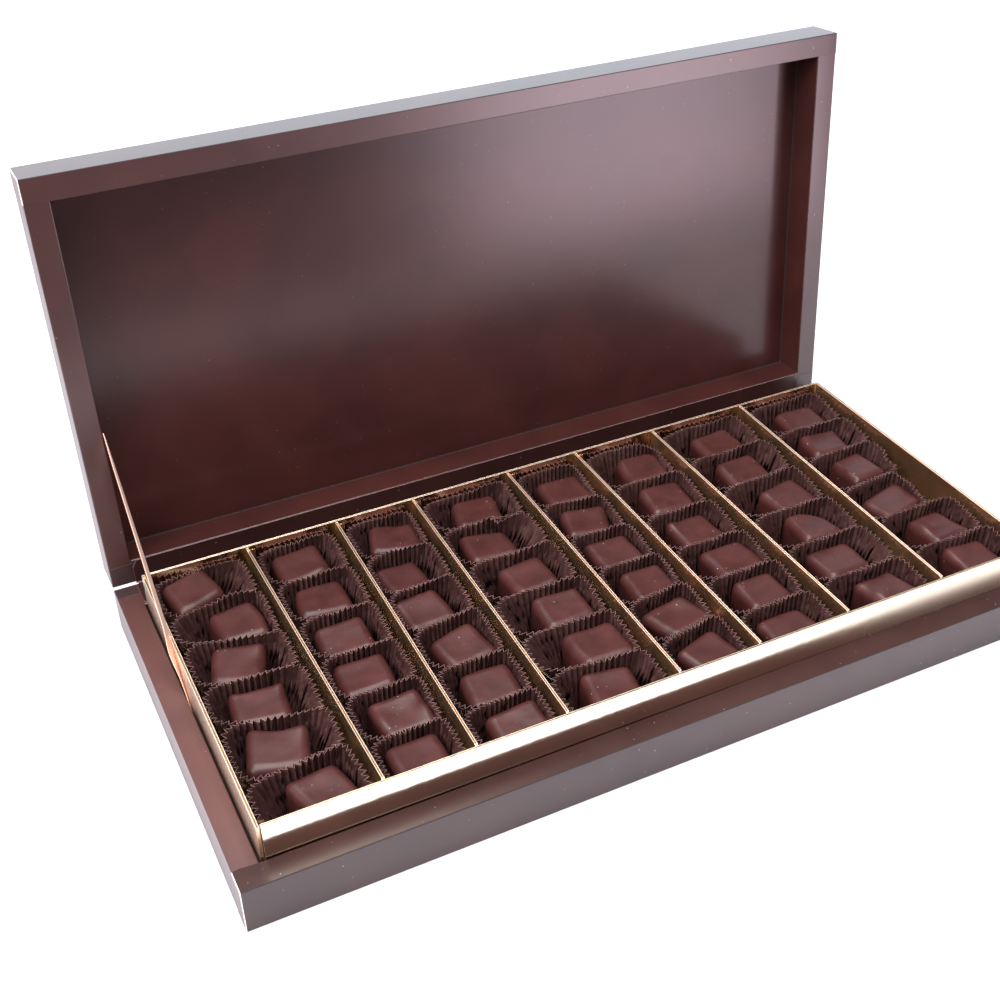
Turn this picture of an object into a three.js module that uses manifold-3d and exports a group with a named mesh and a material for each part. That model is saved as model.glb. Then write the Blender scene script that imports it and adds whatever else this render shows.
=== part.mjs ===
// A box of turkish delight coated in dark chocolate, standing open.
// A shallow card box with a hinged lid holds a gold card tray that stands up out of its ledge.
// Seven dividers split the tray into eight columns of uneven width. Each column holds six coated
// sweets, every one in its own fluted paper case, squeezed between its neighbours. A satin ribbon
// at the left keeps the lid from falling back.
//
// Millimetres, +Z up. +X runs along the hinge, and +Y from the front edge to the hinge.
// The origin is the middle of the base's underside.

import * as THREE from "three";
import { mergeVertices } from "three/addons/utils/BufferGeometryUtils.js";
import Module from "manifold-3d";

const manifold = await Module();
manifold.setup();

// ---------- driving dimensions ----------

const GAP = 0.3; // clearance between pieces that touch
const PAST = 5; // how far a cutting block runs past what it cuts
const MERGE_DISTANCE = 1e-4; // corners nearer than this are one corner

const BOX_LENGTH = 350;
const BOX_DEPTH = 172;
const BASE_HEIGHT = 19.6;
const BASE_FLOOR = 2.4;
const SIDE_LEDGE = 9.4;
const FRONT_LEDGE = 9.7;

const LID_HEIGHT = 17;
const LID_RECESS = 14.8;
const LID_SIDE_RIM = 9.4;
const LID_FRONT_RIM = 9.2;
const LID_HINGE_RIM = 10.5;
const LID_OPEN_ANGLE = 95;
const HINGE_CLEARANCE = 0.15; // from the hinge line to either box half

const LINER_CARD = 0.4;

const TRAY_SIDE_INSET = 10.3;
const TRAY_FRONT_INSET = 10.2;
const TRAY_BACK_INSET = 15.2;
const TRAY_RISE = 14.6; // above the ledge
const TRAY_CARD = 1;
const TRAY_FLOOR = 2.5;

const DIVIDER_CARD = 1.2;
const DIVIDER_CORNER = 2;
const DIVIDER_CORNER_SIDES = 3;
// where each divider's two ends stand, from left to right
const DIVIDERS = [
  { back: -121.5, front: -119.5 },
  { back: -82.5, front: -85 },
  { back: -47.5, front: -49.5 },
  { back: -2.5, front: -3 },
  { back: 31.5, front: 32 },
  { back: 71.5, front: 72.5 },
  { back: 119.5, front: 118 },
];

const SWEET_HALF = 9.4;
const SWEET_HALF_SPREAD = 0.3; // how far it is larger or smaller, by chance
const SWEET_TOP = 27; // above the box's underside
const SWEET_TOP_SPREAD = 0.6;
const SWEET_ROUNDING = 2;
const SWEET_SQUARENESS = 5;
const SWEET_CORNER_SPREAD = 16; // degrees between the three points of a corner

const CASE_RIM = 30; // above the box's underside
const CASE_HALF_LENGTH = 19.5; // along X, where the column is wide enough
const CASE_FOOT_MARGIN = 0.7;
const CASE_PAPER = 0.9;
const CASE_PLEATS = 16;
const PLEAT_DEPTH = 0.5;
const CASE_SQUARENESS = 3.4;
const HALVINGS = 24; // steps in which a distance is found

const RIBBON_WIDTH = 6;
const RIBBON_THICKNESS = 0.3;
const RIBBON_LID_HEIGHT = 69.5; // up the lid's rim from the hinge line
const RIBBON_BASE_Y = 10.6; // where it enters the gap beside the tray
const RIBBON_TAIL = 8; // hidden at each end

// Each column from left to right, its six sweets from the hinge to the front:
// how far each sweet stands from the middle of its column (along) and of its row (back),
// and how far it is turned, in degrees. Where a column has lift, a sweet rides up on its case.
const COLUMNS = [
  {
    along: [-5.5, 4.5, -1.5, -2, -3.5, 3.5],
    back: [-0.5, 0.5, 2, 2, 2, 0],
    turn: [14, 3, -18, -6, -17, 8],
    lift: [3, 0, 0, 0, 0, 0],
  },
  {
    along: [-1, -1, -1, -2, 2, -1],
    back: [1, -1, -2, -1, -1, -1],
    turn: [2, -2, -2, -3, 0, 0],
  },
  {
    along: [3, -3.5, -3, 1, 2, 3],
    back: [0, -2, 0, -2, -2.5, -1],
    turn: [-15, 0, 3, 9, -2, 1],
  },
  {
    along: [2.5, -3.5, 2, 6, 8, 1],
    back: [1.5, 2, 0, 0, 0, 0],
    turn: [-5, -5, 0, 0, 0, -6],
  },
  {
    along: [4, 2, 1.5, 3.5, 3, 2],
    back: [-2, -2, -2, -1, 1, 0],
    turn: [-2, -8, -3, 0, 10, 14],
  },
  {
    along: [6.5, 3.5, 1.5, 4, 4.5, 0.5],
    back: [-2, -3, -4.5, -3.5, -2, -1],
    turn: [-2, -2, 0, 0, 0, 2],
  },
  {
    along: [3.5, 2, 8, 5, -1, 5],
    back: [-1, 1, -1, 0, 0, 0],
    turn: [0, 0, 5, 0, 0, 0],
  },
  {
    along: [4, 0.5, 2, -1, 5.5, 5.5],
    back: [-1, 1.5, 2, -1.5, 0, 0],
    turn: [0, -3, 3, 8, 2, 0],
  },
];
const ROWS = 6;

// ---------- worked-out places ----------

const halfLength = BOX_LENGTH / 2;
const halfDepth = BOX_DEPTH / 2;
const hingeY = halfDepth + HINGE_CLEARANCE;
const hingeZ = BASE_HEIGHT + HINGE_CLEARANCE;
const leanBack = THREE.MathUtils.degToRad(LID_OPEN_ANGLE - 90);

const trayBottom = BASE_FLOOR + GAP;
const trayFloorTop = trayBottom + TRAY_FLOOR;
const trayTop = BASE_HEIGHT + TRAY_RISE;
const traySide = halfLength - TRAY_SIDE_INSET;
const trayFront = -halfDepth + TRAY_FRONT_INSET;
const trayBack = halfDepth - TRAY_BACK_INSET;
const trayInnerSide = traySide - TRAY_CARD;
const trayInnerFront = trayFront + TRAY_CARD;
const trayInnerBack = trayBack - TRAY_CARD;

const linerRebate = LINER_CARD + GAP;
const linerHalf = halfLength - SIDE_LEDGE - GAP;

// ---------- colours and finishes ----------

const card = new THREE.MeshStandardMaterial({ color: "#553a3b", roughness: 0.45, metalness: 0 });
const gold = new THREE.MeshStandardMaterial({ color: "#c8a25c", roughness: 0.22, metalness: 1 });
const satin = new THREE.MeshStandardMaterial({ color: "#f2ab86", roughness: 0.35, metalness: 0 });
const chocolate = new THREE.MeshStandardMaterial({ color: "#4a2624", roughness: 0.4, metalness: 0 });

// ---------- making solids ----------

// A closed geometry as a manifold solid, with its shared corners merged.
function toSolid(geometry) {
  const bare = new THREE.BufferGeometry();
  bare.setAttribute("position", geometry.getAttribute("position"));
  bare.setIndex(geometry.getIndex());
  const merged = mergeVertices(bare, MERGE_DISTANCE);
  const mesh = new manifold.Mesh({
    numProp: 3,
    vertProperties: new Float32Array(merged.getAttribute("position").array),
    triVerts: new Uint32Array(merged.getIndex().array),
  });
  return new manifold.Manifold(mesh);
}

function fromSolid(solid) {
  const mesh = solid.getMesh();
  const geometry = new THREE.BufferGeometry();
  geometry.setAttribute("position", new THREE.BufferAttribute(mesh.vertProperties, 3));
  geometry.setIndex(new THREE.BufferAttribute(mesh.triVerts, 1));
  geometry.computeVertexNormals();
  return geometry;
}

// A block between two corners.
function block(low, high) {
  const size = [0, 1, 2].map((i) => high[i] - low[i]);
  const geometry = new THREE.BoxGeometry(...size);
  const middle = [0, 1, 2].map((i) => (high[i] + low[i]) / 2);
  geometry.translate(...middle);
  return geometry;
}

function cutFrom(body, ...cutters) {
  const solids = cutters.map(toSolid);
  return fromSolid(solids.reduce((left, cutter) => left.subtract(cutter), toSolid(body)));
}

// A prism whose section is drawn in the YZ plane and which runs along X, centred on x = 0.
function prismAlongX(section, length) {
  const geometry = new THREE.ExtrudeGeometry(section, {
    depth: length,
    bevelEnabled: false,
    curveSegments: DIVIDER_CORNER_SIDES,
  });
  geometry.translate(0, 0, -length / 2);
  const xAxis = new THREE.Vector3(0, 1, 0);
  const yAxis = new THREE.Vector3(0, 0, 1);
  const zAxis = new THREE.Vector3(1, 0, 0);
  geometry.applyMatrix4(new THREE.Matrix4().makeBasis(xAxis, yAxis, zAxis));
  return geometry;
}

// A numbered draw between -1 and 1 that always comes out the same.
function seededDraws(seed) {
  let state = seed;
  return () => {
    state = (state + 0x6d2b79f5) | 0;
    let bits = Math.imul(state ^ (state >>> 15), 1 | state);
    bits = (bits + Math.imul(bits ^ (bits >>> 7), 61 | bits)) ^ bits;
    return (((bits ^ (bits >>> 14)) >>> 0) / 2147483648) - 1;
  };
}

const box = new THREE.Group();

function addPiece(name, geometry, material, parent = box) {
  const mesh = new THREE.Mesh(geometry, material);
  mesh.name = name;
  parent.add(mesh);
  return mesh;
}

// ---------- base: folded card with broad flat walls ----------

function baseGeometry() {
  const body = block([-halfLength, -halfDepth, 0], [halfLength, halfDepth, BASE_HEIGHT]);
  const inside = halfLength - SIDE_LEDGE;
  const well = block(
    [-inside, -halfDepth + FRONT_LEDGE, BASE_FLOOR],
    [inside, trayBack + GAP, BASE_HEIGHT + PAST],
  );
  const linerSeat = block(
    [-inside, trayBack, BASE_HEIGHT - linerRebate],
    [inside, halfDepth + PAST, BASE_HEIGHT + PAST],
  );
  return cutFrom(body, well, linerSeat);
}

addPiece("base", baseGeometry(), card);

// ---------- gold tray ----------

function trayGeometry() {
  const body = block([-traySide, trayFront, trayBottom], [traySide, trayBack, trayTop]);
  const hollow = block(
    [-trayInnerSide, trayInnerFront, trayFloorTop],
    [trayInnerSide, trayInnerBack, trayTop + PAST],
  );
  return cutFrom(body, hollow);
}

addPiece("tray", trayGeometry(), gold);

// ---------- dividers: upright cards with their front top corner rounded ----------

const dividerFront = trayInnerFront + GAP;
const dividerBack = trayInnerBack - GAP;
const dividerLength = dividerBack - dividerFront;
const dividerMiddleY = (dividerBack + dividerFront) / 2;
const dividerTop = trayTop - GAP;

function dividerGeometry() {
  const half = dividerLength / 2;
  const section = new THREE.Shape();
  section.moveTo(-half, trayFloorTop + GAP);
  section.lineTo(half, trayFloorTop + GAP);
  section.lineTo(half, dividerTop);
  section.lineTo(-half + DIVIDER_CORNER, dividerTop);
  const cornerMiddle = new THREE.Vector2(-half + DIVIDER_CORNER, dividerTop - DIVIDER_CORNER);
  section.absarc(cornerMiddle.x, cornerMiddle.y, DIVIDER_CORNER, Math.PI / 2, Math.PI);
  section.closePath();
  return prismAlongX(section, DIVIDER_CARD);
}

DIVIDERS.forEach((divider, i) => {
  const mesh = addPiece(`divider_${i + 1}`, dividerGeometry(), gold);
  mesh.position.set((divider.back + divider.front) / 2, dividerMiddleY, 0);
  mesh.rotation.z = Math.atan2(divider.front - divider.back, dividerLength);
});

// A divider's x at some y.
function dividerAt(divider, y) {
  const share = (y - dividerFront) / dividerLength;
  return THREE.MathUtils.lerp(divider.front, divider.back, share);
}

// ---------- sweets in their paper cases ----------

// A point of a rounded rectangle at an angle seen from its middle.
function outlinePoint(angle, half, squareness) {
  const c = Math.abs(Math.cos(angle)) / half.x;
  const s = Math.abs(Math.sin(angle)) / half.y;
  const radius = (c ** squareness + s ** squareness) ** (-1 / squareness);
  return new THREE.Vector2(radius * Math.cos(angle), radius * Math.sin(angle));
}

// How far a case's rim lies from a point inside it, in some direction, found by halving.
function reachToRim(cell, from, direction) {
  let near = 0;
  let far = 2 * cell.half.x + cell.half.y;
  for (let step = 0; step < HALVINGS; step += 1) {
    const middle = (near + far) / 2;
    const p = direction.clone().multiplyScalar(middle).add(from).sub(cell.middle);
    const across = Math.abs(p.x / cell.half.x) ** CASE_SQUARENESS;
    const along = Math.abs(p.y / cell.half.y) ** CASE_SQUARENESS;
    if (across + along < 1) near = middle;
    else far = middle;
  }
  return near;
}

// The closed surface through a stack of rings, from the first one to the last, both capped.
// Rings run anticlockwise. Two rings of unlike counts are joined by their points' angles, and two
// of one count by diagonals that rise the same way on both faces of a thin wall.
function stackOfRings(rings) {
  const points = rings.flatMap((ring) => ring.points);
  const starts = rings.map((ring, k) => rings.slice(0, k).reduce((sum, r) => sum + r.points.length, 0));
  const faces = [];
  for (let k = 0; k + 1 < rings.length; k += 1) {
    const low = rings[k];
    const high = rings[k + 1];
    let i = 0;
    let j = 0;
    while (i < low.points.length || j < high.points.length) {
      const a = starts[k] + (i % low.points.length);
      const b = starts[k + 1] + (j % high.points.length);
      const nextLow = i < low.points.length ? low.angles[i + 1] : Infinity;
      const nextHigh = j < high.points.length ? high.angles[j + 1] : Infinity;
      const rises = high.points[0].z > low.points[0].z;
      if (nextLow < nextHigh || (nextLow === nextHigh && rises)) {
        faces.push(a, starts[k] + ((i + 1) % low.points.length), b);
        i += 1;
      } else {
        faces.push(a, starts[k + 1] + ((j + 1) % high.points.length), b);
        j += 1;
      }
    }
  }
  const last = rings.length - 1;
  for (let i = 1; i + 1 < rings[0].points.length; i += 1) {
    faces.push(starts[0], starts[0] + i + 1, starts[0] + i);
  }
  for (let i = 1; i + 1 < rings[last].points.length; i += 1) {
    faces.push(starts[last], starts[last] + i, starts[last] + i + 1);
  }
  const geometry = new THREE.BufferGeometry();
  const flat = new Float32Array(points.flatMap((p) => [p.x, p.y, p.z]));
  geometry.setAttribute("position", new THREE.BufferAttribute(flat, 3));
  geometry.setIndex(faces);
  geometry.computeVertexNormals();
  return geometry;
}

// A ring at some height: place turns each angle into a point of the ring's own plan.
function ringAt(angles, z, place) {
  const points = angles.map((angle, i) => {
    const p = place(angle, i);
    return new THREE.Vector3(p.x, p.y, typeof z === "function" ? z(i) : z);
  });
  return { points, angles: [...angles, angles[0] + 2 * Math.PI] };
}

const pleatAngles = Array.from({ length: 2 * CASE_PLEATS }, (_, i) => (i * Math.PI) / CASE_PLEATS);
const cornerAngles = [45, 135, 225, 315].flatMap((corner) =>
  [-SWEET_CORNER_SPREAD, 0, SWEET_CORNER_SPREAD].map((d) => THREE.MathUtils.degToRad(corner + d)),
);

// The case and its sweet, as one solid. The paper rises from just outside the sweet's foot to the
// pleated rim and back down to the foot, and the sweet stands inside.
function sweetInCaseGeometry(cell, sweet) {
  const sweetPlan = (grow) => (angle) => {
    const half = sweet.half.clone().addScalar(grow);
    const p = outlinePoint(angle, half, SWEET_SQUARENESS);
    return p.rotateAround(new THREE.Vector2(), sweet.turn).add(sweet.middle);
  };
  const rimPlan = (angle, i) => {
    const direction = new THREE.Vector2(1, 0).rotateAround(new THREE.Vector2(), angle + sweet.turn);
    const reach = reachToRim(cell, sweet.middle, direction) - (i % 2 ? PLEAT_DEPTH : 0);
    return direction.multiplyScalar(reach).add(sweet.middle);
  };
  const bottom = trayFloorTop + GAP;
  return stackOfRings([
    ringAt(pleatAngles, bottom, sweetPlan(CASE_FOOT_MARGIN)),
    ringAt(pleatAngles, (i) => CASE_RIM + (i % 2 ? -PLEAT_DEPTH : PLEAT_DEPTH), rimPlan),
    ringAt(pleatAngles, bottom + CASE_PAPER, sweetPlan(0)),
    ringAt(cornerAngles, sweet.top - SWEET_ROUNDING, sweetPlan(0)),
    ringAt(cornerAngles, sweet.top, sweetPlan(-SWEET_ROUNDING)),
  ]);
}

const rowPitch = (trayInnerBack - trayInnerFront) / ROWS;

COLUMNS.forEach((column, c) => {
  const draw = seededDraws(c + 1);
  const wallX = (side, y) => {
    const divider = DIVIDERS[side < 0 ? c - 1 : c];
    return divider ? dividerAt(divider, y) - (side * DIVIDER_CARD) / 2 : side * trayInnerSide;
  };
  const rowY = (r) => trayInnerBack - (r + 0.5) * rowPitch + column.back[r];
  for (let r = 0; r < ROWS; r += 1) {
    const y = rowY(r);
    const yHigh = r === 0 ? trayInnerBack : (y + rowY(r - 1)) / 2;
    const yLow = r === ROWS - 1 ? trayInnerFront : (y + rowY(r + 1)) / 2;
    const xLow = Math.max(wallX(-1, yHigh), wallX(-1, yLow)) + GAP;
    const xHigh = Math.min(wallX(1, yHigh), wallX(1, yLow)) - GAP;
    const middleX = (xLow + xHigh) / 2;
    const halfX = Math.min(CASE_HALF_LENGTH, (xHigh - xLow) / 2);
    const slack = (xHigh - xLow) / 2 - halfX;
    const cell = {
      middle: new THREE.Vector2(
        middleX + THREE.MathUtils.clamp(column.along[r], -slack, slack),
        (yHigh + yLow) / 2,
      ),
      half: new THREE.Vector2(halfX, (yHigh - yLow - GAP) / 2),
    };
    const sweet = {
      middle: new THREE.Vector2(middleX + column.along[r], y),
      half: new THREE.Vector2(
        SWEET_HALF + SWEET_HALF_SPREAD * draw(),
        SWEET_HALF + SWEET_HALF_SPREAD * draw(),
      ),
      top: SWEET_TOP + SWEET_TOP_SPREAD * draw() + (column.lift ? column.lift[r] : 0),
      turn: THREE.MathUtils.degToRad(column.turn[r]),
    };
    addPiece(`sweet_c${c + 1}_r${r + 1}`, sweetInCaseGeometry(cell, sweet), chocolate);
  }
});

// ---------- lid: a shallow frame under a plain panel, made shut and turned open ----------

// Seen from the hinge line, with the lid shut: y runs away from the hinge as negative values.
function lidGeometry() {
  const hingeSide = -HINGE_CLEARANCE;
  const frontSide = hingeSide - BOX_DEPTH;
  const rim = HINGE_CLEARANCE;
  const body = block([-halfLength, frontSide, rim], [halfLength, hingeSide, rim + LID_HEIGHT]);
  const inside = halfLength - LID_SIDE_RIM;
  const recess = block(
    [-inside, frontSide + LID_FRONT_RIM, rim - PAST],
    [inside, hingeSide - LID_HINGE_RIM, rim + LID_RECESS],
  );
  const linerSeat = block(
    [-inside, hingeSide - LID_HINGE_RIM - PAST, rim - PAST],
    [inside, hingeSide + PAST, rim + linerRebate],
  );
  return cutFrom(body, recess, linerSeat);
}

const lid = new THREE.Group();
lid.position.set(0, hingeY, hingeZ);
lid.rotation.x = -THREE.MathUtils.degToRad(LID_OPEN_ANGLE);
box.add(lid);
addPiece("lid", lidGeometry(), card, lid);

// A point of the open lid in the YZ plane: up its rim from the hinge line, and into its depth.
function onLid(up, deep) {
  return new THREE.Vector2(
    hingeY + up * Math.sin(leanBack) + deep * Math.cos(leanBack),
    hingeZ + up * Math.cos(leanBack) - deep * Math.sin(leanBack),
  );
}

// ---------- hinge liner: one strip over the back ledge and up the lid's hinge rim ----------

function linerGeometry() {
  // how far up the lid a face at some depth meets a level face of the ledge
  const meets = (deep, z) => (z - hingeZ + deep * Math.sin(leanBack)) / Math.cos(leanBack);
  const face = HINGE_CLEARANCE;
  const back = HINGE_CLEARANCE + LINER_CARD;
  const under = BASE_HEIGHT - LINER_CARD;
  const topEdge = LID_HINGE_RIM + HINGE_CLEARANCE;
  const corners = [
    new THREE.Vector2(trayBack + GAP, under),
    onLid(meets(back, under), back),
    onLid(topEdge, back),
    onLid(topEdge, face),
    onLid(meets(face, BASE_HEIGHT), face),
    new THREE.Vector2(trayBack + GAP, BASE_HEIGHT),
  ];
  return prismAlongX(new THREE.Shape(corners), 2 * linerHalf);
}

addPiece("hinge_liner", linerGeometry(), card);

// ---------- ribbon: a flat strip from the lid's left rim to the gap beside the tray ----------

function addRibbon() {
  const top = onLid(RIBBON_LID_HEIGHT, 0);
  const foot = new THREE.Vector2(RIBBON_BASE_Y, BASE_HEIGHT);
  const run = top.clone().sub(foot);
  const middle = top.clone().add(foot).multiplyScalar(0.5);
  const strip = new THREE.BoxGeometry(RIBBON_THICKNESS, run.length() + 2 * RIBBON_TAIL, RIBBON_WIDTH);
  const mesh = addPiece("ribbon", strip, satin);
  const x = -halfLength + SIDE_LEDGE + GAP + RIBBON_THICKNESS / 2;
  mesh.position.set(x, middle.x, middle.y);
  mesh.rotation.x = run.angle();
}

addRibbon();

export default box;
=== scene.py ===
import math
import random

import bpy
from mathutils import Matrix, Vector, noise


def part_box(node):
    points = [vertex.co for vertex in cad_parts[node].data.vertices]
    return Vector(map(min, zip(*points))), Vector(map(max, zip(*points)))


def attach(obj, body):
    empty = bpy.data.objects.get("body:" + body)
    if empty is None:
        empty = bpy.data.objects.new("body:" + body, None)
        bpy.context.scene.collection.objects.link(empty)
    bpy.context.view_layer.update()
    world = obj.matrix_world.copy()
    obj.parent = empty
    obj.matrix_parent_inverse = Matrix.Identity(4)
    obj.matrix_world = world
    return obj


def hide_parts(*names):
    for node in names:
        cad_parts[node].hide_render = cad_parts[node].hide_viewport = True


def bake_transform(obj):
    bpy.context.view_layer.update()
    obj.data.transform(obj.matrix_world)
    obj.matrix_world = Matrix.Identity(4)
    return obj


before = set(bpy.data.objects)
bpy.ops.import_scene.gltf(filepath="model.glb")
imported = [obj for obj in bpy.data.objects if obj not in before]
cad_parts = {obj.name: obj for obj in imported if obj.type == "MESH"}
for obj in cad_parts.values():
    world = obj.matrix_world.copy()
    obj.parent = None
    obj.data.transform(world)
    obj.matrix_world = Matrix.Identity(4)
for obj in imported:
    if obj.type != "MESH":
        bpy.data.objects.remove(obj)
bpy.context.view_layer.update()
bpy.ops.object.select_all(action="DESELECT")

# ---------- camera ----------
# The photograph looks down on the open box from its front left, through a normal lens on a full-frame body.
# The right end of the box runs out of the picture.

LENS_MM = 50.05
CAMERA_AT = Vector((-0.2233, -0.3835, 0.3788))
CAMERA_AZIMUTH = math.radians(-25.59)
CAMERA_ELEVATION = math.radians(35.50)
CAMERA_ROLL = math.radians(-0.85)

level = math.cos(CAMERA_ELEVATION)
backward = Vector((math.sin(CAMERA_AZIMUTH) * level, -math.cos(CAMERA_AZIMUTH) * level, math.sin(CAMERA_ELEVATION)))
level_right = Vector((0, 0, 1)).cross(backward).normalized()
level_up = backward.cross(level_right)
camera_right = level_right * math.cos(CAMERA_ROLL) + level_up * math.sin(CAMERA_ROLL)
camera_up = level_up * math.cos(CAMERA_ROLL) - level_right * math.sin(CAMERA_ROLL)
bpy.ops.object.camera_add()
camera = bpy.context.object
camera.data.lens = LENS_MM
camera.matrix_world = Matrix.Translation(CAMERA_AT) @ Matrix((camera_right, camera_up, backward)).transposed().to_4x4()
bpy.context.scene.camera = camera

# ---------- floor and light ----------
# A matt white table under a broad overhead softbox and a key at the left. A low panel at the right front lays the
# glare on the lid, and a dim bluish wall stands behind. Plain sRGB is used, so hex colours come out as written.


def linear(hex_colour):
    """An sRGB hex colour as linear red, green, blue and alpha."""
    shares = [int(hex_colour[i : i + 2], 16) / 255 for i in (1, 3, 5)]
    return [s / 12.92 if s <= 0.04045 else ((s + 0.055) / 1.055) ** 2.4 for s in shares] + [1]


def add_node(tree, kind, values=None, links=None, **attributes):
    """Adds a node, and sets its attributes, its inputs' values and its inputs' links."""
    made = tree.nodes.new(kind)
    for name, value in attributes.items():
        setattr(made, name, value)
    for name, value in (values or {}).items():
        made.inputs[name].default_value = value
    for name, socket in (links or {}).items():
        tree.links.new(socket, made.inputs[name])
    return made


def object_place(tree):
    return add_node(tree, "ShaderNodeTexCoord").outputs["Object"]


def new_material(name, settings):
    """A material with one Principled shader that has these settings, its node tree, and that shader."""
    material = bpy.data.materials.new(name)
    material.use_nodes = True
    tree = material.node_tree
    shader = tree.nodes["Principled BSDF"]
    for socket, value in settings.items():
        shader.inputs[socket].default_value = value
    return material, tree, shader


TABLE_FRONT = -0.27
TABLE_BACK = 3.5
TABLE_HALF_WIDTH = 3.0
WORLD_COLOUR = "#f4f3f4"
WORLD_STRENGTH = 0.15
FLOOR_COLOUR = "#e4e2e9"
FLOOR_ROUGHNESS = 0.9
# The lights: place and target, width and height in metres, radiance, and tint.
STUDIO_LIGHTS = {
    "overhead_softbox": ((-0.1, 0.0, 1.5), (0, 0, 0), 1.6, 0.9, 9.6, "#ffffff"),
    "left_key": ((-1.25, -0.35, 1.05), (0, 0, 0.05), 1.0, 1.0, 10, "#ffffff"),
    "right_front_panel": ((1.02, -1.56, -0.08), (0.1, 0.1, 0.12), 0.58, 0.9, 8.5, "#ffe6f4"),
    "white_backdrop": ((0.5, 1.7, 0.75), (0, 0, 0.1), 2.4, 1.3, 1.35, "#e2f2ff"),
}

scene = bpy.context.scene
scene.view_settings.view_transform = "Standard"
scene.world = bpy.data.worlds.new("studio")
scene.world.use_nodes = True
studio = scene.world.node_tree.nodes["Background"]
studio.inputs["Color"].default_value = linear(WORLD_COLOUR)
studio.inputs["Strength"].default_value = WORLD_STRENGTH

bpy.ops.mesh.primitive_plane_add(size=1, location=(0, (TABLE_FRONT + TABLE_BACK) / 2, 0))
bpy.ops.transform.resize(value=(2 * TABLE_HALF_WIDTH, TABLE_BACK - TABLE_FRONT, 1))
bpy.ops.object.transform_apply(location=True, rotation=True, scale=True)
floor = bpy.context.object
floor.name = "table_top"
white_table = new_material("matt_white_table", {"Base Color": linear(FLOOR_COLOUR), "Roughness": FLOOR_ROUGHNESS})[0]
floor.data.materials.append(white_table)

for name, (place, target, width, height, radiance, tint) in STUDIO_LIGHTS.items():
    bpy.ops.object.light_add(type="AREA", location=place)
    light = bpy.context.object
    light.name = name
    light.data.shape = "RECTANGLE"
    light.data.size = width
    light.data.size_y = height
    light.data.energy = radiance * math.pi * width * height
    light.data.color = linear(tint)[:3]
    light.rotation_euler = (Vector(target) - Vector(place)).to_track_quat("-Z", "Y").to_euler()
    light.visible_camera = False

# ---------- box base ----------
# The lower half: greyboard folded into broad hollow walls round a well for the tray. It is wrapped in paper that
# is printed dark brown under a satin film. The front wall is wrapped last, in a strip of its own.

MM = 0.001
BASE_FLOOR = 2.4 * MM
SIDE_LEDGE = 9.4 * MM
FRONT_LEDGE = 9.7 * MM
PAPER_STEP = 0.12 * MM
BOARD_EDGE = 0.45 * MM
WRAP_TUCK = 2.2 * MM
WRAP_EDGE = 0.3 * MM
HINGE_END_LENGTH = 7.2 * MM
STRIP_INSET = 0.3 * MM
STRIP_OVERLAP = 0.2 * MM
STRIP_EDGE = 0.05 * MM
WHITE_EDGE = 0.45 * MM
WHITE_EDGE_REACH = 1.2 * MM
WHITE_EDGE_INSET = 0.35 * MM

base_low, base_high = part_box("base")
tray_low, tray_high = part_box("tray")
well_x = base_high.x - SIDE_LEDGE
well_front = base_low.y + FRONT_LEDGE
well_back = tray_high.y + 0.3 * MM
# The share of its normal along an axis from which a face looks that way, and from which it is a flat side.
FACING = 0.9
FLAT_SIDE = 0.95
SMOOTH_UNDER = math.radians(50)


def block(name, low, high):
    """A cube added at the size and place of the box between two corners, left selected."""
    low, high = Vector(low), Vector(high)
    bpy.ops.object.select_all(action="DESELECT")
    bpy.ops.mesh.primitive_cube_add(size=1, location=(low + high) / 2, scale=high - low)
    made = bpy.context.object
    made.name = name
    bpy.ops.object.transform_apply(location=True, rotation=True, scale=True)
    return made


def take(piece):
    """Makes a piece the active object and the only one selected."""
    bpy.ops.object.select_all(action="DESELECT")
    piece.select_set(True)
    bpy.context.view_layer.objects.active = piece
    return piece


def add_modifier(piece, kind, **settings):
    """Adds a modifier to a piece and applies it at once."""
    take(piece)
    modifier = piece.modifiers.new(kind.lower(), kind)
    for name, value in settings.items():
        setattr(modifier, name, value)
    bpy.ops.object.modifier_apply(modifier=modifier.name)


def edit(piece, chosen, mode="FACE"):
    """Opens a piece in edit mode, with only those faces, edges or corners selected that chosen is true of."""
    take(piece)
    bpy.ops.object.mode_set(mode="EDIT")
    bpy.ops.mesh.select_mode(type=mode)
    bpy.ops.mesh.select_all(action="DESELECT")
    bpy.ops.object.mode_set(mode="OBJECT")
    parts = {"FACE": piece.data.polygons, "EDGE": piece.data.edges, "VERT": piece.data.vertices}
    for part in parts[mode]:
        part.select = bool(chosen(part))
    bpy.ops.object.mode_set(mode="EDIT")


def close_edit():
    bpy.ops.object.mode_set(mode="OBJECT")


def edge_middle(piece, e):
    return (piece.data.vertices[e.vertices[0]].co + piece.data.vertices[e.vertices[1]].co) / 2


def round_edges(piece, width, segments=2):
    """Rounds a piece's sharp edges and leaves its flat faces looking flat."""
    add_modifier(piece, "BEVEL", width=width, segments=segments, limit_method="ANGLE")
    bpy.ops.object.shade_smooth_by_angle(angle=SMOOTH_UNDER)
    add_modifier(piece, "WEIGHTED_NORMAL", keep_sharp=True)


def paint(piece, material, chosen):
    """Gives a piece one more material, on those of its faces that chosen is true of."""
    piece.data.materials.append(material)
    for face in piece.data.polygons:
        if chosen(face):
            face.material_index = len(piece.data.materials) - 1


def on_outer_side(face):
    return abs(face.normal.x) > FLAT_SIDE and abs(face.center.x) > base_high.x - 0.5 * MM


def side_name(side):
    return "left" if side < 0 else "right"


def finish_piece(piece, materials, body, node):
    """Gives a piece its further materials, its body and the CAD node that it stands for."""
    for material in materials:
        piece.data.materials.append(material)
    if body:
        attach(piece, body)
    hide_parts(node)
    piece.select_set(False)


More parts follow.
